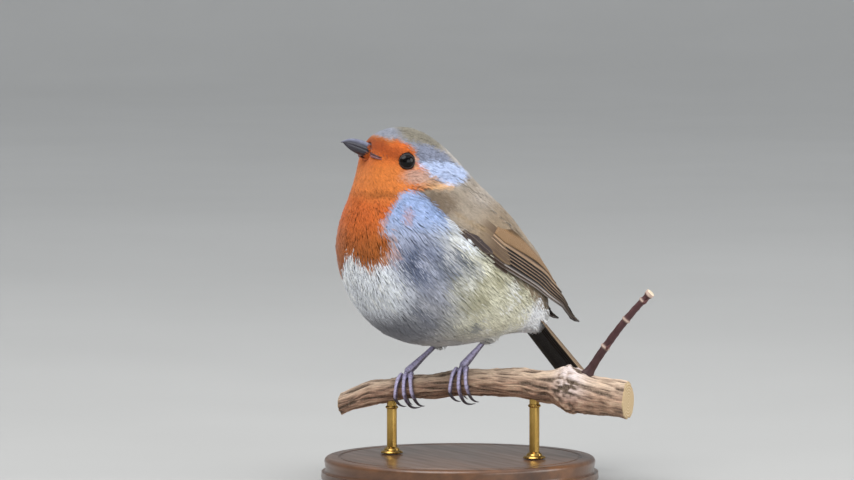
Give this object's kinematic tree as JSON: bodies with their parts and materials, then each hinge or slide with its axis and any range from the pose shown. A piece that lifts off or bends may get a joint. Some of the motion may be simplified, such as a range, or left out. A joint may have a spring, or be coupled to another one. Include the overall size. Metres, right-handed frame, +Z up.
{
  "type": "robin model",
  "caption": "Life-size robin with fluffed plumage, bill slightly raised, perched on a cut length of branch above a round display base.",
  "frame": {"origin": "middle of the round base's flat underside, on the surface that the model stands on", "axes": "+Z up; -Y the way the bird faces; +X the bird's left side"},
  "size_m": [0.0912, 0.0964, 0.1129],
  "materials": {
    "head_plumage": "soft matt feathers, orange face under a grey-brown crown",
    "breast_plumage": "soft matt feathers, orange breast edged blue-grey",
    "body_plumage": "soft matt feathers, off-white belly, buff flanks, olive-brown back",
    "covert_feathers": "overlapping matt olive-brown feathers",
    "flight_feathers": "smooth dark brown vanes with pale edges",
    "tail_feathers": "smooth dark brown vanes with warm edges",
    "bill_horn": "smooth satin dark horn",
    "eye": "wet glossy black",
    "leg_skin": "satin scaled dark purplish-brown skin",
    "claw_horn": "smooth satin dark horn",
    "bark": "rough ridged bark",
    "twig_bark": "smooth reddish twig bark",
    "base_wood": "satin dark wood",
    "rod_brass": "satin brass"
  },
  "bodies": {
    "root": {"head": "head_plumage", "neck": "breast_plumage", "trunk": "body_plumage", "bill_upper": "bill_horn", "bill_lower": "bill_horn", "eye_left": "eye", "eye_right": "eye", "wing_left_coverts": "covert_feathers", "wing_right_coverts": "covert_feathers", "wing_left_primaries": "flight_feathers", "wing_right_primaries": "flight_feathers", "wing_left_secondaries": "flight_feathers", "wing_right_secondaries": "flight_feathers", "tail": "tail_feathers", "thigh_left": "body_plumage", "tarsus_left": "leg_skin", "toe_left_inner": "leg_skin", "claw_left_inner": "claw_horn", "toe_left_middle": "leg_skin", "claw_left_middle": "claw_horn", "toe_left_outer": "leg_skin", "claw_left_outer": "claw_horn", "toe_left_hind": "leg_skin", "claw_left_hind": "claw_horn", "thigh_right": "body_plumage", "tarsus_right": "leg_skin", "toe_right_inner": "leg_skin", "claw_right_inner": "claw_horn", "toe_right_middle": "leg_skin", "claw_right_middle": "claw_horn", "toe_right_outer": "leg_skin", "claw_right_outer": "claw_horn", "toe_right_hind": "leg_skin", "claw_right_hind": "claw_horn", "perch_branch": "bark", "perch_twig": "twig_bark", "stand_base": "base_wood", "stand_rod_1": "rod_brass", "stand_rod_2": "rod_brass"}
  },
  "joints": []
}
